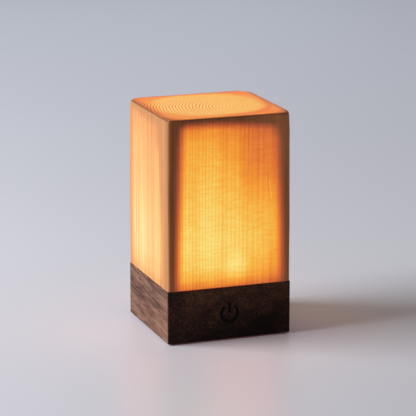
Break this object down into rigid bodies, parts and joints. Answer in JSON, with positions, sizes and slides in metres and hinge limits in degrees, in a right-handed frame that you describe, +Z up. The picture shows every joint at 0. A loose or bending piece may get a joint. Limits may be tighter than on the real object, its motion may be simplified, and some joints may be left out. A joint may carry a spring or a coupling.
{
  "type": "cordless desk lamp",
  "caption": "Cordless table lamp: a hollowed softwood block as a glowing shade, lifting off a walnut base with a touch key, a battery and a charging port.",
  "frame": {"origin": "under the middle of the lamp, on the surface it stands on", "axes": "+Z up, +Y towards the face with the charging port, -Y towards the face with the power symbol, +X to the right seen from the front"},
  "size_m": [0.09, 0.085, 0.158],
  "materials": {
    "softwood": "oiled",
    "walnut": "oiled",
    "magnet_plating": "nickel plated",
    "cover_plastic": "fine texture",
    "screw_steel": "zinc plated",
    "foot_rubber": "matte",
    "cell_wrap": "shrink sleeve",
    "nickel": "plain",
    "foam_tape": "matte",
    "circuit_board": "solder mask",
    "socket_steel": "stamped",
    "socket_core": "moulded",
    "chip_black": "moulded",
    "choke": "moulded",
    "ceramic": "fired",
    "plug_housing": "moulded",
    "copper": "plain",
    "spreader_aluminium": "satin",
    "thermal_pad": "soft",
    "light_board": "white solder mask",
    "light_chip": "phosphor",
    "opal": "opal",
    "wire_red": "insulation",
    "wire_black": "insulation",
    "wire_grey": "insulation"
  },
  "bodies": {
    "base": {"walnut_base": "walnut", "base_magnets": "magnet_plating", "bottom_cover": "cover_plastic", "cover_screws": "screw_steel", "rubber_feet": "foot_rubber", "battery_cell": "cell_wrap", "battery_tabs": "nickel", "battery_pad": "foam_tape", "main_board": "circuit_board", "board_screws": "screw_steel", "usb_socket_shell": "socket_steel", "usb_socket_tongue": "socket_core", "charge_chip": "chip_black", "driver_chip": "chip_black", "inductor": "choke", "capacitors": "ceramic", "battery_plug": "plug_housing", "led_plug": "plug_housing", "touch_plug": "plug_housing", "touch_tape": "foam_tape", "touch_pad": "copper", "touch_board": "circuit_board", "touch_chip": "chip_black", "heat_spreader": "spreader_aluminium", "thermal_pad": "thermal_pad", "led_board": "light_board", "led_chips": "light_chip", "diffuser_dome": "opal", "dome_screws": "screw_steel", "battery_lead_red": "wire_red", "battery_lead_black": "wire_black", "led_lead_red": "wire_red", "led_lead_black": "wire_black", "touch_lead": "wire_grey"},
    "shade": {"wood_shade": "softwood", "shade_magnets": "magnet_plating"}
  },
  "joints": [
    {"name": "shade_lift", "type": "slide", "parent": "base", "child": "shade", "axis": [0, 0, 1], "range_m": [0, 0.06]}
  ]
}
